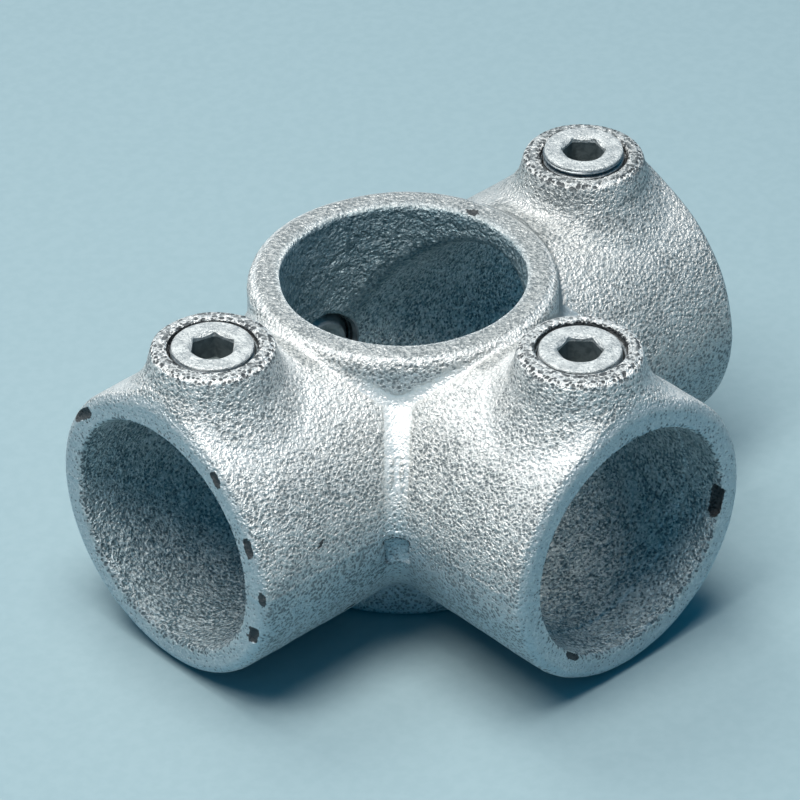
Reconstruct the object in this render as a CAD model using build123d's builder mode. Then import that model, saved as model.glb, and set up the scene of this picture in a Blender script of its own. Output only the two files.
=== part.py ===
from build123d import *
from build123d.topology import SkipClean
import os
from math import tan, radians, sqrt

# Three-socket tube clamp fitting for 48.3 mm tube, with a through upright.
#
# Frame: millimetres, +Z up along the upright tube. The origin is the point
# where the upright's axis meets the axes of the three sockets.
#   left socket   opens towards -X
#   front socket  opens towards -Y
#   back socket   opens towards +X
#   the +Y side is closed and carries the upright's own set screw
#
# Pieces: one malleable-iron casting and four identical cup-point set screws,
# one for each tube.

# ---------------------------------------------------------------- sizes (mm)
upright_bore_r = 24.6       # through bore that the upright tube slides in
socket_bore_r = 24.5        # bore of each horizontal socket
socket_r = 30.4             # outside of the horizontal sockets
sleeve_r = 31.0             # outside of the upright sleeve
reach = 65.0                # socket mouth plane to the upright's axis
sleeve_half = 31.6          # sleeve end to the plane of the socket axes
corner_fillet = 4.0         # foundry fillet in every inside corner
mouth_edge = 2.4            # rounding outside each socket mouth
sleeve_edge = 2.4           # rounding outside each sleeve end
lip_edge = 0.9              # rounding of the bores at their mouths
chamber_half = 25.2         # height of the chamber that opens into the sockets;
                            # beyond it the upright's bore has wall all round

boss_at = 50.0              # socket boss axis to the upright's axis
# boss face to the axis of the bore below it
boss_top = {"left": 38.2, "front": 38.4, "back": 37.2, "upright": 38.2}
boss_top_r = 12.0           # boss radius at its face
boss_draft = 14.0           # degrees of flare down the boss's side
boss_foot = 26.2            # where the flare ends, inside the socket's wall
boss_edge = 1.1             # rounding of the boss's face
boss_fillet = 2.5           # fillet round the boss's foot

thread_r = 8.33             # 3/8 in parallel pipe thread, major radius
thread_play = 0.05          # radial play of a screw in its thread
hole_chamfer = 0.8          # countersink at the mouth of a tapped hole

screw_len = 12.4            # set screw overall length
screw_edge = 0.5            # chamfer round the screw's face
key_af = 8.0                # hexagon socket across flats
key_depth = 6.0             # hexagon socket depth
key_lead = 0.5              # lead-in chamfer of the hexagon socket
point_r = 6.4               # outer radius of the cup point's rim
point_cone = 1.6            # height of the cone down to that rim
cup_r = 5.2                 # inner radius of the cup point's rim
cup_depth = 1.2             # depth of the cup

# how far each screw's face stands above its boss's face at rest
proud = {"left": 0.1, "front": 0.2, "back": 1.3, "upright": -1.2}
# turn of each hexagon about its screw's axis, degrees
key_turn = {"left": 44.0, "front": 75.0, "back": 75.0, "upright": 20.0}

os.makedirs("parts", exist_ok=True)

# ------------------------------------------------------------- working planes
# socket planes: origin at the centre, normal out of the mouth
left_plane = Plane(origin=(0, 0, 0), x_dir=(0, -1, 0), z_dir=(-1, 0, 0))
front_plane = Plane(origin=(0, 0, 0), x_dir=(1, 0, 0), z_dir=(0, -1, 0))
back_plane = Plane(origin=(0, 0, 0), x_dir=(0, 1, 0), z_dir=(1, 0, 0))

# boss planes: origin on the bore axis below the boss, normal out of the boss
boss_plane = {
    "left": Plane(origin=(-boss_at, 0, 0), x_dir=(1, 0, 0), z_dir=(0, 0, 1)),
    "front": Plane(origin=(0, -boss_at, 0), x_dir=(1, 0, 0), z_dir=(0, 0, 1)),
    "back": Plane(origin=(boss_at, 0, 0), x_dir=(1, 0, 0), z_dir=(0, 0, 1)),
    "upright": Plane(origin=(0, 0, 0), x_dir=(1, 0, 0), z_dir=(0, 1, 0)),
}



def section_plane(plane):
    """A half-section plane: x runs off the axis of plane, y along it."""
    return Plane(origin=plane.origin, x_dir=plane.x_dir, z_dir=plane.x_dir.cross(plane.z_dir))


def is_boss_foot(edge):
    """True for an edge that runs round the foot of a boss."""
    for plane in boss_plane.values():
        spots = [plane.to_local_coords(edge.position_at(u)) for u in (0, 0.25, 0.5, 0.75, 1)]
        off_axis = [sqrt(p.X**2 + p.Y**2) for p in spots]
        if max(off_axis) < 15.5 and min(off_axis) > 13.0 and min(p.Z for p in spots) > 20:
            return edge.geom_type in (GeomType.BSPLINE, GeomType.ELLIPSE)
    return False


# ------------------------------------------------------------------- casting
with BuildPart() as body:
    # three sockets as solid bars
    for socket in (left_plane, front_plane, back_plane):
        with BuildSketch(socket):
            Circle(socket_r)
        extrude(amount=reach)
    # the sleeve, left long until its inside corners are filleted
    with BuildSketch(Plane.XY.offset(-sleeve_half - 10)):
        Circle(sleeve_r)
    extrude(amount=2 * sleeve_half + 20)
    # a flared boss on each socket and on the closed side
    for name, plane in boss_plane.items():
        rise = boss_top[name] - boss_foot
        with BuildSketch(plane.offset(boss_foot)):
            Circle(boss_top_r + rise * tan(radians(boss_draft)))
        extrude(amount=rise, taper=boss_draft)
    # foundry fillets: socket to socket, sleeve to sockets, then boss feet
    curved = body.edges().filter_by(GeomType.ELLIPSE) + body.edges().filter_by(GeomType.BSPLINE)
    fillet([e for e in curved if not is_boss_foot(e)], radius=corner_fillet)
    fillet([e for e in body.edges() if is_boss_foot(e)], radius=boss_fillet)
    # trim the sleeve to height, which leaves its ends a little wider where
    # the fillets come up
    for end in (1, -1):
        with BuildSketch(Plane.XY.offset(end * sleeve_half)):
            Circle(sleeve_r + 5)
        extrude(amount=end * 20, mode=Mode.SUBTRACT)
    rims = [
        e
        for e in body.edges()
        if abs(abs(e.center().Z) - sleeve_half) < 0.01 and abs(abs(e.position_at(0).Z) - sleeve_half) < 0.01
    ]
    fillet(rims, radius=sleeve_edge)
    # round the outside of each socket's mouth; the cut slopes away above the
    # socket so that it takes only the toe of the boss's fillet
    for socket in (left_plane, front_plane, back_plane):
        with BuildSketch(section_plane(socket)):
            with BuildLine():
                mid = mouth_edge * (1 - sqrt(0.5))
                ThreePointArc(
                    (socket_r - mouth_edge, reach),
                    (socket_r - mid, reach - mid),
                    (socket_r, reach - mouth_edge),
                )
                Polyline(
                    (socket_r, reach - mouth_edge),
                    (socket_r + 6, reach - mouth_edge - 6),
                    (socket_r + 6, reach + 5),
                    (socket_r - mouth_edge, reach + 5),
                    (socket_r - mouth_edge, reach),
                )
            make_face()
        revolve(axis=Axis(socket.origin, socket.z_dir), mode=Mode.SUBTRACT)
    # bosses: rounded faces
    faces = body.edges().filter_by(GeomType.CIRCLE).filter_by(lambda e: abs(e.radius - boss_top_r) < 0.01)
    fillet(faces, radius=boss_edge)
    # tapped holes, through to the bores, with a small countersink
    for name, plane in boss_plane.items():
        with BuildSketch(plane.offset(20)):
            Circle(thread_r)
        extrude(amount=boss_top[name] - 20, mode=Mode.SUBTRACT)
        with BuildSketch(plane.offset(boss_top[name])):
            Circle(thread_r + hole_chamfer)
        extrude(amount=-hole_chamfer, taper=45, mode=Mode.SUBTRACT)
    # tube bores: the sockets break into the upright's bore
    with BuildSketch(back_plane):
        Circle(socket_bore_r)
    extrude(amount=reach, both=True, mode=Mode.SUBTRACT)
    with BuildSketch(front_plane):
        Circle(socket_bore_r)
    extrude(amount=reach, mode=Mode.SUBTRACT)
    # the upright's bore in three lengths: the chamber, and a collar with wall
    # all round at each end, which keeps a face of its own
    with BuildSketch(Plane.XY):
        Circle(upright_bore_r)
    extrude(amount=chamber_half, both=True, mode=Mode.SUBTRACT)
    with SkipClean():
        for end in (1, -1):
            with BuildSketch(Plane.XY.offset(end * chamber_half)):
                Circle(upright_bore_r)
            extrude(amount=end * (sleeve_half - chamber_half), mode=Mode.SUBTRACT)
        # eased lips at every mouth
        for plane, r, mouth in (
            (left_plane, socket_bore_r, reach),
            (front_plane, socket_bore_r, reach),
            (back_plane, socket_bore_r, reach),
            (Plane.XY, upright_bore_r, sleeve_half),
            (Plane.XY.rotated((180, 0, 0)), upright_bore_r, sleeve_half),
        ):
            with BuildSketch(section_plane(plane)):
                with BuildLine():
                    mid = lip_edge * (1 - sqrt(0.5))
                    ThreePointArc(
                        (r, mouth - lip_edge),
                        (r + mid, mouth - mid),
                        (r + lip_edge, mouth),
                    )
                    Polyline(
                        (r + lip_edge, mouth),
                        (r + lip_edge, mouth + 1),
                        (r - 1, mouth + 1),
                        (r - 1, mouth - lip_edge),
                        (r, mouth - lip_edge),
                    )
                make_face()
            revolve(axis=Axis(plane.origin, plane.z_dir), mode=Mode.SUBTRACT)
body.part.label = "body_casting"
export_step(body.part, "parts/body_casting.step")
print("body_casting", body.part.is_valid, len(body.solids()), round(body.part.volume))

# ---------------------------------------------------------------- set screws
screw_r = thread_r - thread_play


def set_screw(name):
    """One set screw in its tapped hole: plain to the thread's crests, with a
    chamfered face, a hexagon socket, and a cup point at its inner end."""
    plane = boss_plane[name]
    face = boss_top[name] + proud[name]
    tip = face - screw_len
    with BuildPart() as screw:
        # the turned shape, cup included
        with BuildSketch(section_plane(plane)):
            with BuildLine():
                Polyline(
                    (0, tip + cup_depth),
                    (cup_r - cup_depth, tip + cup_depth),
                    (cup_r, tip),
                    (point_r, tip),
                    (screw_r, tip + point_cone),
                    (screw_r, face - screw_edge),
                    (screw_r - screw_edge, face),
                    (0, face),
                    close=True,
                )
            make_face()
        revolve(axis=Axis(plane.origin, plane.z_dir))
        # hexagon socket with a turned lead-in and a drilled bottom
        with BuildSketch(plane.offset(face)):
            RegularPolygon(radius=key_af / 2, side_count=6, major_radius=False, rotation=key_turn[name])
        extrude(amount=-key_depth, mode=Mode.SUBTRACT)
        with BuildSketch(section_plane(plane)):
            with BuildLine():
                Polyline(
                    (0, face),
                    (key_af / 2 + key_lead, face),
                    (0, face - key_af / 2 - key_lead),
                    close=True,
                )
            make_face()
        revolve(axis=Axis(plane.origin, plane.z_dir), mode=Mode.SUBTRACT)
        with BuildSketch(section_plane(plane)):
            with BuildLine():
                Polyline(
                    (0, face - key_depth),
                    (key_af / 2 - 0.1, face - key_depth),
                    (0, face - key_depth - 1.6),
                    close=True,
                )
            make_face()
        revolve(axis=Axis(plane.origin, plane.z_dir), mode=Mode.SUBTRACT)
    screw.part.label = name + "_set_screw"
    return screw


for name in boss_plane:
    screw = set_screw(name)
    export_step(screw.part, "parts/" + name + "_set_screw.step")
    print(name + "_set_screw", screw.part.is_valid, len(screw.solids()), round(screw.part.volume, 1))
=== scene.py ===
import math

import bpy
import numpy as np
from mathutils import Matrix


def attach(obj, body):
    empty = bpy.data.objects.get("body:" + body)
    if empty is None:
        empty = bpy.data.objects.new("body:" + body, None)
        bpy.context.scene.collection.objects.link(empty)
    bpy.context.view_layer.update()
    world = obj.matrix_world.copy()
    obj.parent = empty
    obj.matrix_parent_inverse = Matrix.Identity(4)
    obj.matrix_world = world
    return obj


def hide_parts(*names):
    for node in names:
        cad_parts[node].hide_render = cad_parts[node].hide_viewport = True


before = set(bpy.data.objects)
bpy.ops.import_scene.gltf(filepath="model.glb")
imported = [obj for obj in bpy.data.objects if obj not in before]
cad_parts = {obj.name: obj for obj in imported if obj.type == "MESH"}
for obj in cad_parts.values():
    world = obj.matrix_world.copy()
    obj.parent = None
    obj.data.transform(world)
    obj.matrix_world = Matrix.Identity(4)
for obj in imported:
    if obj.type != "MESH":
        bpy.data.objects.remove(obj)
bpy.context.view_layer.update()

# ---------------------------------------------------------------------------
# sizes in millimetres, in the CAD frame: origin where the axes cross, +Z up
# the upright, left socket -X, front socket -Y, back socket +X, +Y closed
# ---------------------------------------------------------------------------
SOCKET_R, SLEEVE_R = 30.4, 31.0
BORE_R, UPRIGHT_R = 24.5, 24.6
REACH, HALF = 65.0, 31.6
BOSS_R, DRAFT = 12.0, math.radians(14)
BOSSES = {  # name: (boss face to the axis, screw face to the axis)
    "left": (38.2, 38.3),
    "front": (38.4, 38.6),
    "back": (37.2, 38.5),
    "upright": (38.2, 37.0),
}
KEY_TURN = {"left": 44.0, "front": 75.0, "back": 75.0, "upright": 20.0}
THREAD_R, PITCH = 8.33, 1.337


def boss_local(name, x, y, z):
    """(across, across, up) in a boss's own frame: up its axis from the bore's axis."""
    if name == "left":
        return x + 50.0, y, z
    if name == "front":
        return x, y + 50.0, z
    if name == "back":
        return x - 50.0, y, z
    return x, -z, y


# ---------------------------------------------------------------------------
# seeded noise
# ---------------------------------------------------------------------------
rng = np.random.default_rng(158)
LATTICE = rng.uniform(-1, 1, (64, 64, 64)).astype(np.float32)


def noise(x, y, z, cell, shift):
    """Smooth value noise in -1..1 with cells of that many millimetres."""
    q = [np.asarray(v, np.float32) / cell + shift * k for v, k in ((x, 1.0), (y, 1.7), (z, 2.3))]
    base = [np.floor(v) for v in q]
    w = [v - b for v, b in zip(q, base)]
    w = [t * t * (3 - 2 * t) for t in w]
    i, j, k = (b.astype(np.int32) & 63 for b in base)
    i1, j1, k1 = (i + 1) & 63, (j + 1) & 63, (k + 1) & 63

    def mix(a, b, t):
        return a + (b - a) * t

    near = mix(mix(LATTICE[i, j, k], LATTICE[i1, j, k], w[0]), mix(LATTICE[i, j1, k], LATTICE[i1, j1, k], w[0]), w[1])
    far = mix(mix(LATTICE[i, j, k1], LATTICE[i1, j, k1], w[0]), mix(LATTICE[i, j1, k1], LATTICE[i1, j1, k1], w[0]), w[1])
    return mix(near, far, w[2])


# ---------------------------------------------------------------------------
# the casting as a distance field, with foundry fillets in its corners
# ---------------------------------------------------------------------------
def union(a, b, r):
    u, v = np.maximum(r - a, 0), np.maximum(r - b, 0)
    return np.maximum(r, np.minimum(a, b)) - np.sqrt(u * u + v * v)


def both(a, b, r):
    u, v = np.maximum(r + a, 0), np.maximum(r + b, 0)
    return np.minimum(-r, np.maximum(a, b)) + np.sqrt(u * u + v * v)


def step(v, lo, hi):
    t = np.clip((v - lo) / (hi - lo), 0, 1)
    return t * t * (3 - 2 * t)


def outer(x, y, z):
    """Outside of the casting: three sockets, the sleeve and four bosses."""
    yz, xz, xy = np.sqrt(y * y + z * z) + 1e-6, np.sqrt(x * x + z * z) + 1e-6, np.sqrt(x * x + y * y) + 1e-6
    run = yz - SOCKET_R
    front = np.maximum(xz - SOCKET_R, y)
    # a fillet shrinks where the two walls run into each other smoothly
    turn = np.clip(z * z / (yz * xz), 0, 1)
    bars = union(run, front, 3.2 * np.sqrt(np.maximum(1 - turn * turn, 0.02)))
    # the sleeve, filleted into the sockets, with its ends rounded; the parting seam and the set-back land in the two
    # crotches come later, in field()
    sleeve = xy - SLEEVE_R
    turn = np.clip(y * y / (xy * yz), 0, 1)
    u = union(bars, sleeve, (1.25 - 0.35 * step(x, -2.0, 8.0)) * np.sqrt(np.maximum(1 - turn * turn, 0.02)))
    u = both(u, np.minimum(np.abs(z) - HALF, 41 - xy), 2.7)
    for name, (top, face) in BOSSES.items():
        a, b, c = boss_local(name, x, y, z)
        rho = np.sqrt(a * a + b * b)
        cone = (rho - BOSS_R - (top - c) * math.tan(DRAFT)) * math.cos(DRAFT)
        lump = both(cone, c - top, 1.15)
        lump = np.maximum(lump, 22 - c)
        u = union(u, lump, 4.2)
    # socket mouths
    return both(u, np.maximum(np.abs(x), -y) - REACH, 2.4)


def void(x, y, z):
    """The three bores, rounded where the sockets break into the upright."""
    yz, xz, xy = np.sqrt(y * y + z * z) + 1e-6, np.sqrt(x * x + z * z) + 1e-6, np.sqrt(x * x + y * y) + 1e-6
    run = yz - BORE_R
    # the front socket's core was a little smaller past its first centimetre
    front = np.maximum(xz - BORE_R + 0.28 * (1 - step(-y, 54.6, 55.4)), y)
    turn = np.clip(z * z / (yz * xz), 0, 1)
    bars = union(run, front, 2.4 * np.sqrt(np.maximum(1 - turn * turn, 0.02)))
    turn = np.clip(np.where(y > 0, y * y / (xy * yz), 0), 0, 1)
    return union(bars, xy - UPRIGHT_R, 2.9 * np.sqrt(np.maximum(1 - turn * turn, 0.02)))


def hole(name, x, y, z):
    """A tapped hole with its countersink, opened out by wear."""
    top, face = BOSSES[name]
    a, b, c = boss_local(name, x, y, z)
    if name == "front":  # this mouth is worn wide on one side
        lip = np.sqrt((a - 0.42) ** 2 + (b - 0.30) ** 2) - 8.98
    elif name == "back":
        lip = np.sqrt((a + 0.15) ** 2 + (b + 0.35) ** 2) - 8.95
    else:
        lip = np.sqrt(a * a + b * b) - 8.88
    deep = np.maximum(np.sqrt(a * a + b * b) - 8.55, 20 - c)
    mouth = np.maximum(lip, top - 1.5 - c)
    return np.minimum(deep, mouth)


def capsule(x, y, z, p, q, r):
    p, q = np.array(p, float), np.array(q, float)
    d = q - p
    t = np.clip(((x - p[0]) * d[0] + (y - p[1]) * d[1] + (z - p[2]) * d[2]) / (d @ d), 0, 1)
    return np.sqrt((x - p[0] - t * d[0]) ** 2 + (y - p[1] - t * d[1]) ** 2 + (z - p[2] - t * d[2]) ** 2) - r


SCARS = [  # chips and pits in the zinc: one end, other end, radius
    ((-65.3, 21.0, 18.8), (-65.0, 24.9, 15.9), 1.05),
    ((-65.2, -16.6, 23.4), (-65.2, -17.6, 22.2), 0.75),
    ((-65.3, -25.6, 12.4), (-65.2, -26.4, 10.2), 0.85),
    ((-65.2, -29.6, 1.6), (-65.2, -29.9, -0.6), 0.7),
    ((-65.2, -27.2, -8.2), (-65.2, -26.4, -10.4), 0.9),
    ((25.0, -63.9, -0.6), (24.4, -63.4, -5.6), 1.15),
    ((-14.8, -65.3, -20.0), (-16.9, -65.2, -18.2), 0.7),
    ((28.9, -65.3, -8.4), (28.2, -65.3, -11.0), 0.75),
    ((29.9, -65.2, 1.4), (30.2, -65.2, -2.2), 0.6),
    ((-29.9, -45.0, 3.2), (-30.1, -45.5, -1.2), 0.12),
    ((-50.6, -30.0, 5.2), (-49.2, -29.8, 7.0), 0.10),
    ((-38.0, -24.0, -18.9), (-36.6, -24.0, -18.7), 0.6),
    ((24.6, 7.4, 33.0), (24.9, 6.0, 32.6), 1.3),
    ((-7.0, -9.4, -65.0), (-7.0, -9.4, -66.0), 0.5),
]


def field(x, y, z, rough=True):
    """Signed distance to the casting's surface, negative in the metal."""
    o, v = outer(x, y, z), void(x, y, z)
    # crotches at 45 degrees: t runs across the crease, n out of it
    for side in (-1, 1):
        t, n = (side * x + y) / math.sqrt(2), (side * x - y) / math.sqrt(2)
        land = np.maximum(np.maximum(np.abs(t) - 2.5, np.abs(z + 4.2) - 3.2), 43.0 - n)
        o = np.maximum(o, -land)
        near = np.exp(-((t / 0.62) ** 2)) * step(z, 8.5, 10.5) * (1 - step(z, 13.5, 16.5)) * step(n, 28.0, 31.0)
        o = o + 0.22 * near
    # parting seam: a low ridge, mostly dressed off
    seam = np.exp(-((z - 0.15) / 0.45) ** 2) * (0.07 + 0.07 * noise(x, y, z, 9.0, 3.1))
    o = o - seam
    if rough:
        swell = 0.20 * noise(x, y, z, 15.0, 0.37) + 0.085 * noise(x, y, z, 5.5, 5.1)
        peel = 0.045 * noise(x, y, z, 2.1, 9.7) + 0.03 * noise(x, y, z, 1.3, 2.9)
        rim = np.exp(-((np.minimum(np.minimum(np.abs(np.abs(x) - REACH), np.abs(y + REACH)), np.abs(np.abs(z) - HALF)) / 0.8) ** 2))
        o = o + (swell + peel) * (1 - 0.6 * rim)
        core = 0.24 * noise(x, y, z, 11.0, 7.3) + 0.12 * noise(x, y, z, 3.6, 1.9) + 0.05 * noise(x, y, z, 1.6, 4.4)
        v = v + core * (1 - 0.6 * rim)
    f = both(o, -v, 0.95)
    for name in BOSSES:
        f = both(f, -hole(name, x, y, z), 0.30)
    for p, q, r in SCARS:
        f = np.maximum(f, -capsule(x, y, z, p, q, r))
    return f


def gradient(p, h=0.12, rough=True):
    g = np.empty_like(p)
    for i in range(3):
        d = np.zeros(3)
        d[i] = h
        a, b = (p + d).T, (p - d).T
        g[:, i] = (field(*a, rough) - field(*b, rough)) / (2 * h)
    return g


def net(h, coarse=4):
    """The zero surface as quads, by surface nets on a grid with spacing h."""
    low, high = np.array([-67.2, -67.2, -33.8]), np.array([67.2, 40.8, 40.6])
    cells = np.ceil((high - low) / (h * coarse)).astype(int) * coarse
    ax = [low[i] + h * np.arange(cells[i] + 1) for i in range(3)]
    # a coarse pass finds the band that holds the surface
    cx = [a[:-1][::coarse] + h * coarse / 2 for a in ax]
    X, Y, Z = np.meshgrid(*cx, indexing="ij")
    c = field(X.ravel(), Y.ravel(), Z.ravel(), False).reshape(X.shape)
    band = np.abs(c) < h * coarse * 1.15 + 1.0
    grid = np.repeat(np.repeat(np.repeat(c, coarse, 0), coarse, 1), coarse, 2)
    want = np.repeat(np.repeat(np.repeat(band, coarse, 0), coarse, 1), coarse, 2)
    grid = np.pad(grid, ((0, 1),) * 3, mode="edge").astype(np.float32)
    want = np.pad(want, ((0, 1),) * 3, mode="edge")
    i, j, k = np.nonzero(want)
    for s in range(0, len(i), 400000):
        a, b, c = i[s : s + 400000], j[s : s + 400000], k[s : s + 400000]
        grid[a, b, c] = field(ax[0][a], ax[1][b], ax[2][c])
    inside = grid < 0
    corners = [(0, 0, 0), (1, 0, 0), (0, 1, 0), (1, 1, 0), (0, 0, 1), (1, 0, 1), (0, 1, 1), (1, 1, 1)]
    n = np.array(grid.shape) - 1
    count = np.zeros(n, np.uint8)
    for a, b, c in corners:
        count += inside[a : a + n[0], b : b + n[1], c : c + n[2]]
    ci, cj, ck = np.nonzero((count > 0) & (count < 8))
    val = np.stack([grid[ci + a, cj + b, ck + c] for a, b, c in corners], 1)
    total, hits = np.zeros((len(ci), 3)), np.zeros(len(ci))
    for a in range(8):
        for b in range(a + 1, 8):
            pa, pb = np.array(corners[a]), np.array(corners[b])
            if np.abs(pa - pb).sum() != 1:
                continue
            cross = (val[:, a] < 0) != (val[:, b] < 0)
            t = val[:, a] / np.where(cross, val[:, a] - val[:, b], 1)
            total += np.where(cross[:, None], pa + t[:, None] * (pb - pa), 0)
            hits += cross
    verts = (np.stack([ci, cj, ck], 1) + total / hits[:, None]) * h + low
    index = -np.ones(n, np.int32)
    index[ci, cj, ck] = np.arange(len(ci))
    quads = []
    for axis in range(3):
        o1, o2 = [a for a in range(3) if a != axis]
        sl = [slice(1, -1)] * 3
        sl[axis] = slice(0, -1)
        sl2 = list(sl)
        sl2[axis] = slice(1, None)
        a, b = inside[tuple(sl)], inside[tuple(sl2)]
        e = np.stack(np.nonzero(a != b), 1)
        e[:, o1] += 1
        e[:, o2] += 1
        flip = inside[e[:, 0], e[:, 1], e[:, 2]]
        u, w = np.zeros(3, int), np.zeros(3, int)
        u[o1], w[o2] = 1, 1
        ring = [e - u - w, e - w, e, e - u]
        q = np.stack([index[r[:, 0], r[:, 1], r[:, 2]] for r in ring], 1)
        if axis == 1:
            flip = ~flip
        q[~flip] = q[~flip][:, ::-1]
        quads.append(q)
    return verts, np.concatenate(quads)


def new_mesh(name, verts, faces):
    me = bpy.data.meshes.new(name)
    if isinstance(faces, np.ndarray) and faces.shape[1] == 4:
        me.vertices.add(len(verts))
        me.vertices.foreach_set("co", np.asarray(verts, np.float32).ravel())
        me.loops.add(faces.size)
        me.loops.foreach_set("vertex_index", faces.astype(np.int32).ravel())
        me.polygons.add(len(faces))
        me.polygons.foreach_set("loop_start", np.arange(0, faces.size, 4, dtype=np.int32))
        me.update(calc_edges=True)
    else:
        me.from_pydata([tuple(v) for v in verts], [], [tuple(f) for f in faces])
    me.validate()
    ob = bpy.data.objects.new(name, me)
    bpy.context.scene.collection.objects.link(ob)
    return ob


def points(me):
    co = np.empty(len(me.vertices) * 3, np.float32)
    me.vertices.foreach_get("co", co)
    return co.reshape(-1, 3).astype(np.float64)


def settle(p, rounds=3):
    """Moves points onto the surface."""
    for _ in range(rounds):
        f = field(*p.T)
        g = gradient(p)
        move = (f / np.maximum((g * g).sum(1), 0.25))[:, None] * g
        size = np.linalg.norm(move, axis=1, keepdims=True)
        p = p - move * np.minimum(1, 0.35 / np.maximum(size, 1e-9))
    return p


def make_casting():
    verts, quads = net(0.56)
    verts = settle(verts, 2)
    ob = new_mesh("casting_body", verts / 1000, quads)
    tris = 2 * len(quads)
    target = 192000
    if tris > target:
        mod = ob.modifiers.new("thin", "DECIMATE")
        mod.ratio = target / tris
        dg = bpy.context.evaluated_depsgraph_get()
        me = bpy.data.meshes.new_from_object(ob.evaluated_get(dg))
        ob.modifiers.clear()
        old = ob.data
        ob.data = me
        bpy.data.meshes.remove(old)
        me.name = "casting_body"
    me = ob.data
    p = settle(points(me) * 1000, 2)
    me.vertices.foreach_set("co", (p / 1000).astype(np.float32).ravel())
    me.update()
    # smooth normals from the field itself
    g = gradient(p, 0.16)
    g /= np.linalg.norm(g, axis=1, keepdims=True)
    me.polygons.foreach_set("use_smooth", np.ones(len(me.polygons), bool))
    me.normals_split_custom_set_from_vertices([tuple(v) for v in g])
    # what the material reads: inside a bore, hollow corners with pooled zinc and a painted highlight, edges rubbed
    # bright by wear, and the painted shade and highlight masks
    o, v = outer(*p.T), void(*p.T)
    # inside the bores: the material darkens these, partly as painted shade
    inner = step(np.abs(o) - np.abs(v), -1.6, 1.6)
    lap = -6 * field(*p.T, False)
    for i in range(3):
        for s in (-1.3, 1.3):
            d = np.zeros(3)
            d[i] = s
            lap += field(*(p + d).T, False)
    lap /= 1.3**2
    # hollow corners, mostly the front crotch's stem and arms: pooled zinc with fewer specks, plus a painted highlight
    # in the base colour
    pooled_and_highlight = step(-lap, 0.02, 0.16)
    cross = np.exp(-(((np.abs(p[:, 0]) + p[:, 1]) / math.sqrt(2) / 13.0) ** 2)) * step(-p[:, 1], 14.0, 19.0)
    # painted shade in the crease between the sleeve and the back socket
    crease_shade = step(-lap, 0.10, 0.35) * step(p[:, 0], 2.0, 9.0) * (1 - step(np.hypot(p[:, 0], p[:, 1]), 33.5, 36.0)) * (1 - inner)
    pooled_and_highlight = pooled_and_highlight * (0.22 + 0.78 * cross * (0.06 + 0.94 * step(p[:, 2], 3.0, 13.0)))
    t, out = (np.abs(p[:, 0]) + p[:, 1]) / math.sqrt(2), (np.abs(p[:, 0]) - p[:, 1]) / math.sqrt(2)
    land = (np.abs(t) < 2.7) * (np.abs(p[:, 2] + 4.2) < 3.3) * (out > 41.5) * (out < 43.4)
    pooled_and_highlight = np.maximum(pooled_and_highlight, 0.30 * land)
    # convex edges rubbed bright by wear
    wear_and_highlight = step(lap, 0.35, 0.9)
    shaft = inner * (1 - step(np.hypot(p[:, 0], p[:, 1]), 25.2, 26.6))
    # upward faces: leaving out dark specks here is a painted highlight
    tops = step(g[:, 2], 0.55, 0.90) * (1 - 0.85 * step(g[:, 2], 0.92, 0.99)) * (1 - inner)
    # painted highlight: upward faces toward the front are lightened like rubbed zinc, standing in for the light
    # falling on them
    wear_and_highlight = np.maximum(wear_and_highlight, 0.62 * tops * (1 - step(p[:, 0], 12.0, 28.0)))
    # painted shade: downward faces, the low front crotch and the land get a blue-grey tint for shade and the blue
    # floor's reflection
    painted_blue_shade = step(-g[:, 2], -0.25, 0.35) * (1 - inner)
    painted_blue_shade = np.maximum(painted_blue_shade, cross * (1 - step(p[:, 2], -5.0, 8.0)) * (1 - inner))
    painted_blue_shade = np.maximum(painted_blue_shade, 1.0 * land)
    # painted shade: the sleeve's rim top and the back socket are darkened as if less lit
    rim = step(g[:, 2], 0.90, 0.98) * step(p[:, 2], 25.0, 28.0) * (1 - step(np.hypot(p[:, 0], p[:, 1]), 33.5, 35.5))
    rim = np.maximum(rim, 0.60 * step(p[:, 0], 24.0, 40.0) * (1 - inner))
    # socket mouths' end faces: their blue-grey base colour is painted shade
    ends = step(np.maximum(np.abs(p[:, 0]), -p[:, 1]), 63.6, 64.6) * (1 - inner)
    nick = np.zeros(len(p))
    for name, (top, face) in BOSSES.items():
        a, b, c = boss_local(name, *p.T)
        rho = np.sqrt(a * a + b * b)
        nick = np.maximum(nick, np.exp(-(((rho - 11.5) / 0.8) ** 2)) * step(c, top - 1.5, top - 0.7))
        nick = np.maximum(nick, np.exp(-(((rho - 9.3) / 0.5) ** 2)) * step(c, top - 0.9, top - 0.3))
    nick = np.maximum(nick, 0.8 * np.exp(-((np.maximum(o, v) / 0.9) ** 2)) * step(np.maximum(np.abs(p[:, 0]), -p[:, 1]), 62.8, 64.0))
    # real chips and scars in the zinc, plus painted shade and shadow below
    scars_and_shade = np.ones(len(p)) * 9.0
    for a, b, r in SCARS:
        scars_and_shade = np.minimum(scars_and_shade, capsule(*p.T, a, b, r))
    scars_and_shade = 1 - step(scars_and_shade, -0.15, 0.75)
    # painted shadow: a near-black line under the top edge of each land
    shelf = np.maximum(np.abs(t) - 2.6, np.maximum(np.abs(p[:, 2] + 1.15) - 0.5, 43.0 - out))
    scars_and_shade = np.maximum(scars_and_shade, 0.9 * (shelf < 0))
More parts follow.
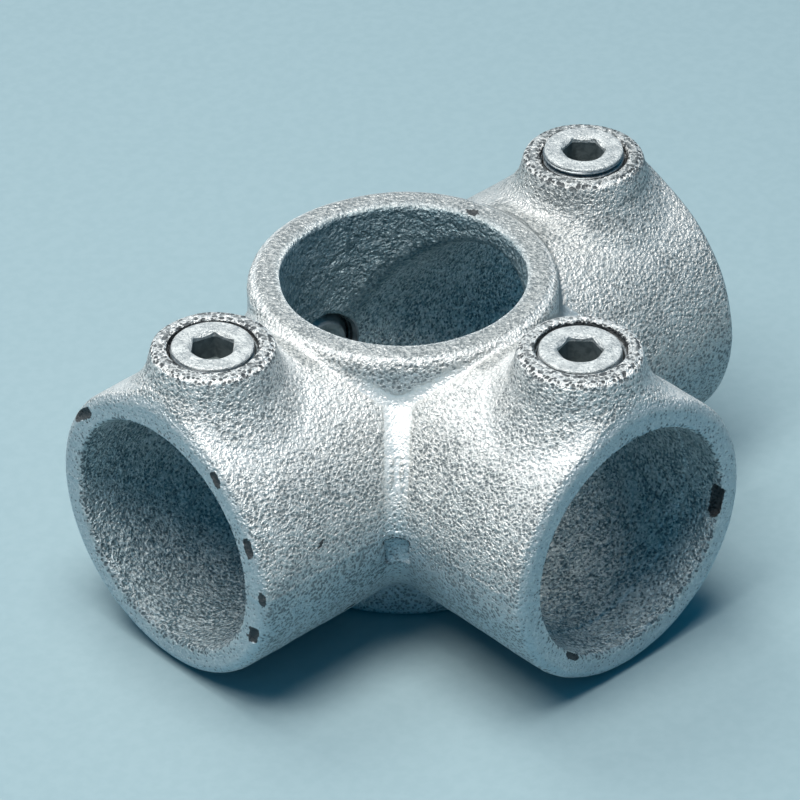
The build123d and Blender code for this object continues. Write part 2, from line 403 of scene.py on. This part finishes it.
    # painted shade: the gap in each tapped hole's mouth, below the boss face, goes near black
    for name, (top, face) in BOSSES.items():
        a, b, c = boss_local(name, *p.T)
        scars_and_shade = np.maximum(scars_and_shade, (np.sqrt(a * a + b * b) < 9.6) * (c > 24.9) * (1 - step(c, top - 0.42, top - 0.12)))
    for name, data in (("inner", inner), ("pooled_and_highlight", pooled_and_highlight), ("wear_and_highlight", wear_and_highlight), ("scars_and_shade", scars_and_shade), ("ends", ends), ("nick", nick), ("tops", tops), ("crease_shade", crease_shade), ("shaft", shaft), ("painted_blue_shade", painted_blue_shade), ("rim", rim)):
        at = me.attributes.new(name, "FLOAT", "POINT")
        at.data.foreach_set("value", data.astype(np.float32))
    print("casting triangles", sum(len(f.vertices) - 2 for f in me.polygons))
    return ob


# ---------------------------------------------------------------------------
# set screws and the threads of their holes
# ---------------------------------------------------------------------------
def boss_matrix(name):
    """From a boss's own frame, z up its axis, to the CAD frame, in millimetres."""
    if name == "left":
        return Matrix.Translation((-50, 0, 0))
    if name == "front":
        return Matrix.Translation((0, -50, 0))
    if name == "back":
        return Matrix.Translation((50, 0, 0))
    return Matrix(((1, 0, 0, 0), (0, 0, 1, 0), (0, -1, 0, 0), (0, 0, 0, 1)))


def tooth(u):
    """A rounded thread form, 0 at the root and 1 at the crest."""
    t = 1 - np.abs(2 * (u % 1) - 1)
    return step(t, 0.12, 0.88)


def sharpen(ob, degrees):
    import bmesh
    bm = bmesh.new()
    bm.from_mesh(ob.data)
    for f in bm.faces:
        f.smooth = True
    for e in bm.edges:
        if len(e.link_faces) == 2 and e.calc_face_angle(0) > math.radians(degrees):
            e.smooth = False
    bm.to_mesh(ob.data)
    bm.free()


def lathe_rings(rings, cap_top, cap_bottom, n):
    """Quads between rings of n points, closed by a fan at each end."""
    verts = np.concatenate(rings)
    faces = []
    for r in range(len(rings) - 1):
        a, b = r * n, (r + 1) * n
        for i in range(n):
            j = (i + 1) % n
            faces.append((a + i, a + j, b + j, b + i))
    m = len(verts)
    verts = np.concatenate([verts, [cap_top, cap_bottom]])
    last = (len(rings) - 1) * n
    for i in range(n):
        j = (i + 1) % n
        faces.append((j, i, m))
        faces.append((last + i, last + j, m + 1))
    return verts, faces


SOCKET_ROWS, FACE_ROWS = 7, 17


def make_screw(name, seed):
    """A hexagon socket set screw with a rolled thread and a cup point."""
    top, face = BOSSES[name]
    tip = face - 12.4
    n = 120
    th = np.arange(n) * 2 * math.pi / n
    jit = np.random.default_rng(seed)
    wob = sum(jit.uniform(-0.03, 0.03) * np.cos(k * th + jit.uniform(0, 6.28)) for k in range(2, 9))

    def ring(r, z):
        r = r + 0 * th
        return np.stack([r * np.cos(th), r * np.sin(th), z + 0 * th], 1)

    turn = math.radians(KEY_TURN[name])
    af = 4.02
    hexa = af / np.cos(((th - turn) % (math.pi / 3)) - math.pi / 6)
    corner = np.abs(((th - turn) % (math.pi / 3)) - math.pi / 6)
    hexa = np.minimum(hexa, 4.56)
    rings = []
    # from the bottom of the key socket up, over the face and down the thread
    rings.append(ring(1.2, face - 7.2))
    rings.append(ring(3.8, face - 6.1))
    rings.append(ring(np.minimum(hexa, 3.95), face - 6.0))
    for d in (6.0, 5.0, 3.5, 2.0, 1.2):
        rings.append(ring(hexa, face - d))
    lead = 4.72
    rings.append(ring(hexa, face - (lead - hexa) * 0.85 - 0.06))
    rings.append(ring(hexa + (lead - hexa) * 0.5, face - (lead - hexa) * 0.40 - 0.05))
    rings.append(ring(lead + 0.02, face - 0.04))
    rings.append(ring(lead + 0.16, face + 0.01))
    rings.append(ring(5.25, face + 0.02))
    rings.append(ring(5.8 + wob, face - 0.015))
    rings.append(ring(6.6 + wob, face + 0.015 * np.cos(3 * th + seed)))
    rings.append(ring(7.35 + wob, face - 0.01))
    rings.append(ring(7.78 + wob * 0.6, face - 0.05))
    rings.append(ring(7.98 + wob * 0.4, face - 0.20))
    rings.append(ring(8.06, face - 0.48))
    z0, z1 = face - 0.6, tip + 1.45
    steps = int(round((z0 - z1) / 0.11))
    for s in range(steps + 1):
        z = z0 + (z1 - z0) * s / steps
        crest, root = 8.28, 7.46
        r = root + (crest - root) * tooth(z / PITCH - th / (2 * math.pi))
        r = np.minimum(r, 8.02 + (z0 - z) * 0.8)
        r = np.minimum(r, 6.62 + (z - tip) * 0.78)
        rings.append(ring(r, z))
    for r, z in ((6.72, tip + 0.55), (6.42, tip + 0.12), (6.25, tip + 0.0), (5.45, tip + 0.0), (5.25, tip + 0.10), (4.1, tip + 1.15), (2.0, tip + 1.25)):
        rings.append(ring(r, z))
    verts, faces = lathe_rings(rings, (0, 0, face - 7.6), (0, 0, tip + 1.3), n)
    # every screw sits a little differently in its thread's play
    tilt = {"left": (0.3, -0.2), "front": (-0.4, 0.5), "back": (0.5, 0.35), "upright": (0.0, 0.2)}[name]
    slide = {"left": (0.02, 0.0), "front": (-0.07, 0.04), "back": (0.10, 0.08), "upright": (0.0, 0.03)}[name]
    mid = Matrix.Translation((0, 0, face - 6.2))
    sway = mid @ Matrix.Rotation(math.radians(tilt[0]), 4, "X") @ Matrix.Rotation(math.radians(tilt[1]), 4, "Y") @ mid.inverted()
    place = boss_matrix(name) @ Matrix.Translation((slide[0], slide[1], 0)) @ sway
    m = np.array(place)
    verts = (verts @ m[:3, :3].T + m[:3, 3]) / 1000
    ob = new_mesh(name + "_socket_screw", verts, faces)
    sharpen(ob, 32)
    return ob


def make_thread(name):
    """The tapped thread in a boss, a liner whose back is buried in the casting."""
    top, face = BOSSES[name]
    n = 96
    th = np.arange(n) * 2 * math.pi / n

    def ring(r, z):
        r = r + 0 * th
        return np.stack([r * np.cos(th), r * np.sin(th), z + 0 * th], 1)

    z1, z0 = top - 1.45, 24.9
    rings = [ring(9.4, z1), ring(8.9, z1 + 0.05)]
    steps = int((z1 - z0) / 0.12)
    low = np.sqrt(np.maximum(BORE_R**2 - (8.6 * np.sin(th)) ** 2, 0)) if name != "upright" else np.sqrt(np.maximum(UPRIGHT_R**2 - (8.6 * np.cos(th)) ** 2, 0))
    for s in range(steps + 1):
        z = z1 + (np.maximum(low + 0.5, 23.4) - z1) * s / steps
        r = 8.80 - 0.36 * tooth(z / PITCH - th / (2 * math.pi))
        rings.append(ring(r, z))
    rings.append(ring(8.9, np.maximum(low + 0.55, 23.5)))
    rings.append(ring(9.4, np.maximum(low + 0.9, 23.9)))
    verts = np.concatenate(rings)
    faces = []
    k = len(rings)
    for r in range(k):
        a, b = r * n, ((r + 1) % k) * n
        for i in range(n):
            j = (i + 1) % n
            faces.append((a + i, b + i, b + j, a + j))
    m = np.array(boss_matrix(name))
    verts = (verts @ m[:3, :3].T + m[:3, 3]) / 1000
    ob = new_mesh(name + "_tapped_thread", verts, faces)
    sharpen(ob, 40)
    return ob


# ---------------------------------------------------------------------------
# materials
# ---------------------------------------------------------------------------
def deep_in(name, c):
    """True for a face at the bottom of a screw's key socket."""
    a, b, up = boss_local(name, *(v * 1000 for v in c))
    return up > BOSSES[name][1] - 9


class Nodes:
    """Short calls for one material's nodes."""

    def __init__(self, name):
        self.mat = bpy.data.materials.new(name)
        self.mat.use_nodes = True
        self.t = self.mat.node_tree
        self.t.nodes.clear()
        self.out = self.t.nodes.new("ShaderNodeOutputMaterial")
        self.shader = self.t.nodes.new("ShaderNodeBsdfPrincipled")
        self.link(self.shader.outputs[0], self.out.inputs[0])
        tc = self.t.nodes.new("ShaderNodeTexCoord")
        mp = self.t.nodes.new("ShaderNodeMapping")
        mp.inputs["Scale"].default_value = (1000, 1000, 1000)
        self.link(tc.outputs["Object"], mp.inputs["Vector"])
        self.mm = mp.outputs[0]

    def link(self, a, b):
        self.t.links.new(a, b)

    def put(self, socket, v):
        if isinstance(v, (int, float)):
            socket.default_value = v
        elif isinstance(v, tuple):
            socket.default_value = v if len(v) == 4 else (*v, 1)
        else:
            self.link(v, socket)

    def noise(self, size, detail=2.0, rough=0.5, distort=0.0, kind="FBM"):
        n = self.t.nodes.new("ShaderNodeTexNoise")
        n.noise_type = kind
        n.inputs["Scale"].default_value = 1.0 / size
        n.inputs["Detail"].default_value = detail
        n.inputs["Roughness"].default_value = rough
        n.inputs["Distortion"].default_value = distort
        self.link(self.mm, n.inputs["Vector"])
        return n.outputs["Fac"]

    def cells(self, size, warp=0.0, offset=0.0, random=1.0):
        """Distance to the nearest of many scattered points, in cell sizes."""
        where = self.mm
        if warp:
            w = self.t.nodes.new("ShaderNodeTexNoise")
            w.inputs["Scale"].default_value = 1.0 / (size * 1.7)
            w.inputs["Detail"].default_value = 1.0
            self.link(self.mm, w.inputs["Vector"])
            v = self.t.nodes.new("ShaderNodeVectorMath")
            v.operation = "MULTIPLY_ADD"
            v.inputs[1].default_value = (warp * size,) * 3
            self.link(w.outputs["Color"], v.inputs[0])
            self.link(self.mm, v.inputs[2])
            where = v.outputs[0]
        if offset:
            v = self.t.nodes.new("ShaderNodeVectorMath")
            v.operation = "ADD"
            v.inputs[1].default_value = (offset, offset * 0.7, offset * 1.3)
            self.link(where, v.inputs[0])
            where = v.outputs[0]
        n = self.t.nodes.new("ShaderNodeTexVoronoi")
        n.inputs["Scale"].default_value = 1.0 / size
        n.inputs["Randomness"].default_value = random
        self.link(where, n.inputs["Vector"])
        return n.outputs["Distance"]

    def math(self, op, a, b=0.0, c=None, clamp=False):
        n = self.t.nodes.new("ShaderNodeMath")
        n.operation = op
        n.use_clamp = clamp
        self.put(n.inputs[0], a)
        self.put(n.inputs[1], b)
        if c is not None:
            self.put(n.inputs[2], c)
        return n.outputs[0]

    def span(self, v, lo, hi, a=0.0, b=1.0, smooth=True):
        n = self.t.nodes.new("ShaderNodeMapRange")
        n.interpolation_type = "SMOOTHSTEP" if smooth else "LINEAR"
        for i, val in enumerate((v, lo, hi, a, b)):
            self.put(n.inputs[i], val)
        return n.outputs[0]

    def mix(self, fac, a, b, blend="MIX"):
        n = self.t.nodes.new("ShaderNodeMix")
        n.data_type = "RGBA"
        n.blend_type = blend
        self.put(n.inputs[0], fac)
        self.put(n.inputs[6], a)
        self.put(n.inputs[7], b)
        return n.outputs[2]

    def value(self, name):
        n = self.t.nodes.new("ShaderNodeAttribute")
        n.attribute_name = name
        return n.outputs["Fac"]

    def bump(self, height, distance, strength=1.0, normal=None):
        n = self.t.nodes.new("ShaderNodeBump")
        n.inputs["Strength"].default_value = strength
        n.inputs["Distance"].default_value = distance
        self.link(height, n.inputs["Height"])
        if normal is not None:
            self.link(normal, n.inputs["Normal"])
        return n.outputs[0]


def casting_material():
    m = Nodes("galvanised_casting")
    inner, pooled_and_highlight, wear_and_highlight, scars_and_shade, ends, nick, tops, crease_shade, shaft, painted_blue_shade, rim = (
        m.value(a) for a in ("inner", "pooled_and_highlight", "wear_and_highlight", "scars_and_shade", "ends", "nick", "tops", "crease_shade", "shaft", "painted_blue_shade", "rim")
    )
    grain = m.noise(0.64, 2.0, 0.55, 0.4)
    fine = m.noise(0.32, 1.5, 0.5)
    patch = m.noise(13.0, 3.0, 0.55, 0.6)
    cloud = m.noise(4.2, 2.0, 0.55)
    where = m.noise(7.0, 2.5, 0.55)
    where2 = m.noise(4.6, 2.0, 0.55, 0.3)
    scars_and_shade = m.span(m.math("ADD", scars_and_shade, m.math("MULTIPLY", m.math("SUBTRACT", m.noise(0.7, 2.0, 0.6), 0.5), 1.3)), 0.46, 0.62)
    # small dark pits between the grains of zinc, fewer where it pooled or wore; fewer on upward faces as a painted
    # highlight
    near, near2 = m.cells(0.84, 1.1), m.cells(0.60, 1.0, 31.7)
    size = m.span(where, 0.34, 0.64, 0.32, 0.45)
    size = m.math("SUBTRACT", size, m.math("MULTIPLY", pooled_and_highlight, 0.34))
    size = m.math("SUBTRACT", size, m.math("MULTIPLY", wear_and_highlight, 0.05))
    size = m.math("SUBTRACT", size, m.math("MULTIPLY", ends, 0.16))
    size = m.math("SUBTRACT", size, m.math("MULTIPLY", tops, 0.19))
    size = m.math("ADD", size, m.math("MULTIPLY", nick, 0.30))
    speck = m.span(m.math("SUBTRACT", size, near), -0.09, 0.09)
    size2 = m.math("SUBTRACT", m.span(where2, 0.40, 0.62, 0.20, 0.42), m.math("MULTIPLY", pooled_and_highlight, 0.36))
    size2 = m.math("SUBTRACT", size2, m.math("MULTIPLY", ends, 0.18))
    size2 = m.math("SUBTRACT", size2, m.math("MULTIPLY", tops, 0.15))
    dots = m.span(m.math("SUBTRACT", size2, near2), -0.09, 0.09)
    speck = m.math("MAXIMUM", speck, m.math("MULTIPLY", dots, 0.75))
    # zinc: light grey, a little duller in patches, brighter in the hollow corners: partly zinc that pooled there,
    # partly a painted highlight
    base = m.mix(m.span(patch, 0.35, 0.65), (0.64, 0.635, 0.615), (0.76, 0.75, 0.725))
    base = m.mix(m.span(cloud, 0.40, 0.72, 0.0, 0.30), base, (0.56, 0.58, 0.58))
    # painted highlight, partly pooled zinc: hollow corners lightened toward near white
    base = m.mix(m.math("MULTIPLY", pooled_and_highlight, 0.60), base, (0.96, 0.95, 0.92))
    # edges bright from wear, plus a painted highlight on the front's upward faces
    base = m.mix(m.math("MULTIPLY", wear_and_highlight, 0.50), base, (0.94, 0.93, 0.90))
    # painted shade: the mouths' end faces tinted blue-grey
    base = m.mix(m.math("MULTIPLY", ends, 0.60), base, (0.40, 0.47, 0.50))
    crest = m.span(grain, 0.48, 0.66, 0.0, 0.35)
    base = m.mix(crest, base, (0.92, 0.91, 0.88))
    # painted shade: undersides, lower crotch and land tinted blue-grey as if in shadow
    base = m.mix(m.math("MULTIPLY", painted_blue_shade, 0.62), base, (0.38, 0.55, 0.64))
    # painted shade on the sleeve's rim top and the back socket
    base = m.mix(m.math("MULTIPLY", rim, 0.60), base, (0.42, 0.43, 0.415))
    base = m.mix(m.math("MULTIPLY", speck, m.span(nick, 0.0, 1.0, 0.74, 0.95)), base, m.mix(nick, (0.12, 0.15, 0.16), (0.03, 0.035, 0.04)))
    # the bores: partly duller zinc, partly painted shade, darker and bluer than outside and darker still down the
    # upright's bore, with patchy bare spots
    bore_dull_and_shade = m.mix(m.span(m.noise(5.5, 3.0, 0.6, 0.8), 0.38, 0.64), (0.24, 0.34, 0.38), (0.50, 0.58, 0.60))
    bore_dull_and_shade = m.mix(m.math("MULTIPLY", speck, 0.80), bore_dull_and_shade, (0.07, 0.12, 0.14))
    bore_dull_and_shade = m.mix(m.span(grain, 0.46, 0.62, 0.0, 0.75), bore_dull_and_shade, (0.84, 0.89, 0.89))
    bore_dull_and_shade = m.mix(m.math("MULTIPLY", shaft, 0.55), bore_dull_and_shade, (0.13, 0.22, 0.25))
    base = m.mix(inner, base, bore_dull_and_shade)
    # painted shade: the sleeve and back socket crease goes dark
    base = m.mix(m.math("MULTIPLY", crease_shade, 0.7), base, (0.10, 0.12, 0.125))
    # near black: the real chips and scars, plus painted shade in the hole mouths and painted shadow under the lands'
    # top edges
    base = m.mix(m.math("MULTIPLY", scars_and_shade, 0.92), base, (0.018, 0.022, 0.025))
    m.put(m.shader.inputs["Base Color"], base)
    metal = m.span(inner, 0.0, 1.0, 0.50, 0.66)
    metal = m.math("MULTIPLY", metal, m.span(scars_and_shade, 0.0, 1.0, 1.0, 0.25))
    metal = m.math("MULTIPLY", metal, m.span(speck, 0.0, 1.0, 1.0, 0.5))
    m.put(m.shader.inputs["Metallic"], metal)
    rough = m.span(cloud, 0.3, 0.7, 0.42, 0.54)
    rough = m.math("ADD", rough, m.math("MULTIPLY", speck, 0.24))
    rough = m.math("ADD", rough, m.math("MULTIPLY", shaft, 0.10))
    rough = m.math("ADD", rough, m.math("MULTIPLY", scars_and_shade, 0.30))
    rough = m.math("SUBTRACT", rough, m.math("MULTIPLY", pooled_and_highlight, 0.06), clamp=True)
    m.put(m.shader.inputs["Roughness"], rough)
    lift = m.math("ADD", m.math("MULTIPLY", grain, 0.75), m.math("MULTIPLY", fine, 0.2))
    lift = m.math("ADD", lift, m.span(near, 0.1, 0.75, 0.0, 0.30))
    lump = m.noise(3.1, 2.0, 0.6, 0.6)
    lift = m.math("ADD", lift, m.math("MULTIPLY", m.math("MULTIPLY", lump, inner), m.span(shaft, 0.0, 1.0, 1.4, 3.2)))
    calm = m.math("MULTIPLY", m.span(pooled_and_highlight, 0.0, 1.0, 1.0, 0.30), m.span(ends, 0.0, 1.0, 1.0, 0.6))
    calm = m.math("MULTIPLY", calm, m.span(tops, 0.0, 1.0, 1.0, 0.68))
    lift = m.math("MULTIPLY", lift, calm)
    n = m.bump(lift, 0.0010, 1.0)
    m.put(m.shader.inputs["Normal"], n)
    return m.mat


def screw_material():
    m = Nodes("plated_screw")
    grain = m.noise(0.55, 2.0, 0.6, 0.3)
    patch = m.noise(2.6, 2.0, 0.55, 0.4)
    speck = m.span(m.noise(0.7, 1.5, 0.6), 0.44, 0.38)
    base = m.mix(m.span(patch, 0.38, 0.64), (0.44, 0.455, 0.45), (0.62, 0.63, 0.615))
    base = m.mix(m.span(grain, 0.50, 0.70, 0.0, 0.45), base, (0.80, 0.80, 0.78))
    base = m.mix(m.math("MULTIPLY", speck, 0.55), base, (0.24, 0.27, 0.28))
    m.put(m.shader.inputs["Base Color"], base)
    m.put(m.shader.inputs["Metallic"], 0.35)
    m.put(m.shader.inputs["Roughness"], m.span(patch, 0.3, 0.7, 0.42, 0.58))
    m.put(m.shader.inputs["Normal"], m.bump(grain, 0.00040, 1.0))
    return m.mat


def socket_material():
    # dark grey key socket: partly the steel's own dark colour, partly painted shade down the deep hexagon
    m = Nodes("key_socket")
    patch = m.noise(1.6, 2.0, 0.55, 0.3)
    base = m.mix(m.span(patch, 0.35, 0.65), (0.09, 0.115, 0.12), (0.15, 0.18, 0.185))
    m.put(m.shader.inputs["Base Color"], base)
    m.put(m.shader.inputs["Metallic"], 0.4)
    m.put(m.shader.inputs["Roughness"], m.span(patch, 0.3, 0.7, 0.5, 0.65))
    m.put(m.shader.inputs["Normal"], m.bump(m.noise(0.5, 1.5, 0.5), 0.00012, 0.6))
    return m.mat


def steel_material():
    m = Nodes("oiled_steel")
    patch = m.noise(1.4, 2.0, 0.55, 0.3)
    base = m.mix(m.span(patch, 0.35, 0.65), (0.22, 0.25, 0.26), (0.34, 0.36, 0.37))
    m.put(m.shader.inputs["Base Color"], base)
    m.put(m.shader.inputs["Metallic"], 0.75)
    m.put(m.shader.inputs["Roughness"], m.span(patch, 0.3, 0.7, 0.36, 0.52))
    m.put(m.shader.inputs["Normal"], m.bump(m.noise(0.45, 1.5, 0.5), 0.00012, 0.6))
    return m.mat


def thread_material():
    # dark grey: partly bare tapped steel, partly painted shade in the gap around the screw
    m = Nodes("tapped_thread")
    patch = m.noise(1.8, 2.0, 0.55, 0.3)
    base = m.mix(m.span(patch, 0.35, 0.65), (0.14, 0.165, 0.175), (0.27, 0.29, 0.30))
    m.put(m.shader.inputs["Base Color"], base)
    m.put(m.shader.inputs["Metallic"], 0.6)
    m.put(m.shader.inputs["Roughness"], m.span(patch, 0.3, 0.7, 0.45, 0.62))
    m.put(m.shader.inputs["Normal"], m.bump(m.noise(0.5, 1.5, 0.5), 0.00015, 0.6))
    return m.mat


def floor_material():
    m = Nodes("pale_floor")
    m.t.nodes["Mapping"].inputs["Scale"].default_value = (1000, 1000, 1000)
    cloth = m.noise(2.4, 2.0, 0.5)
    base = m.mix(m.span(cloth, 0.3, 0.7), (0.278, 0.378, 0.408), (0.291, 0.392, 0.422))
    m.put(m.shader.inputs["Base Color"], base)
    m.put(m.shader.inputs["Roughness"], 0.9)
    m.shader.inputs["Specular IOR Level"].default_value = 0.15
    return m.mat


# ---------------------------------------------------------------------------
# build
# ---------------------------------------------------------------------------
casting = make_casting()
casting.data.materials.clear()
casting.data.materials.append(casting_material())
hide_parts("body_casting")
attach(casting, "casting")

plated, tapped, dark, steel = screw_material(), thread_material(), socket_material(), steel_material()
for seed, name in enumerate(BOSSES):
    screw = make_screw(name, seed + 3)
    screw.data.materials.append(plated)
    screw.data.materials.append(dark)
    screw.data.materials.append(steel)
    for f in screw.data.polygons:
        row = f.index // 120
        if len(f.vertices) == 3:
            f.material_index = 1 if deep_in(name, f.center) else 2
        elif row < SOCKET_ROWS:
            f.material_index = 1
        elif row > FACE_ROWS:
            f.material_index = 2
    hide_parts(name + "_set_screw")
    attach(screw, name + "_screw")
    thread = make_thread(name)
    thread.data.materials.append(tapped)
    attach(thread, "casting")

# the CAD nodes keep a finished material too
for name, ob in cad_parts.items():
    ob.data.materials.clear()
    ob.data.materials.append(casting.data.materials[0] if name == "body_casting" else plated)

# floor
s = 4.0
floor = new_mesh("studio_floor", [(-s, -s, -HALF / 1000), (s, -s, -HALF / 1000), (s, s, -HALF / 1000), (-s, s, -HALF / 1000)], [(0, 1, 2, 3)])
floor.data.materials.append(floor_material())


# camera
def unit(v):
    v = np.array(v, float)
    return v / np.linalg.norm(v)


right = unit((0.7324805, -0.6807087, -0.0103937))
back = unit((-0.5487403, -0.5993736, 0.5827824))
up = np.cross(back, right)
cam_data = bpy.data.cameras.new("camera")
cam_data.sensor_width = 36.0
cam_data.lens = 36.0 * 4998.297 / 800
cam_data.clip_start, cam_data.clip_end = 0.05, 20
cam = bpy.data.objects.new("camera", cam_data)
bpy.context.scene.collection.objects.link(cam)
where = np.array((-0.554741, -0.604486, 0.588876))
rows = np.stack([right, up, back], 1)
cam.matrix_world = Matrix([[*rows[i], where[i]] for i in range(3)] + [[0, 0, 0, 1]])
bpy.context.scene.camera = cam


# lights
def area(name, direction, distance, size, power, colour):
    data = bpy.data.lights.new(name, "AREA")
    data.shape = "DISK"
    data.size = size
    data.energy = power
    data.color = colour
    ob = bpy.data.objects.new(name, data)
    bpy.context.scene.collection.objects.link(ob)
    d = unit(direction)
    side = unit(np.cross((0, 0, 1) if abs(d[2]) < 0.99 else (0, 1, 0), d))
    m = np.stack([side, np.cross(d, side), d], 1)
    ob.matrix_world = Matrix([[*m[i], d[i] * distance] for i in range(3)] + [[0, 0, 0, 1]])
    return ob


LIGHTS = [
    ("overhead", (-0.10, -0.06, 1.0), 1.1, 0.62, 10.2, (1.0, 0.975, 0.935)),
    ("key", (-0.44, 0.0, 0.90), 1.15, 0.45, 6.3, (1.0, 0.955, 0.90)),
    ("rear", (0.04, 0.48, 0.88), 1.15, 0.55, 4.8, (1.0, 0.955, 0.90)),
]
WORLD = ((0.0, 0.50, 0.92, 1), 0.28)
for one in LIGHTS:
    area(*one)
world = bpy.data.worlds.new("studio")
bpy.context.scene.world = world
world.use_nodes = True
bg = world.node_tree.nodes["Background"]
bg.inputs[0].default_value, bg.inputs[1].default_value = WORLD
bpy.context.scene.view_settings.view_transform = "Standard"
bpy.context.scene.view_settings.look = "None"
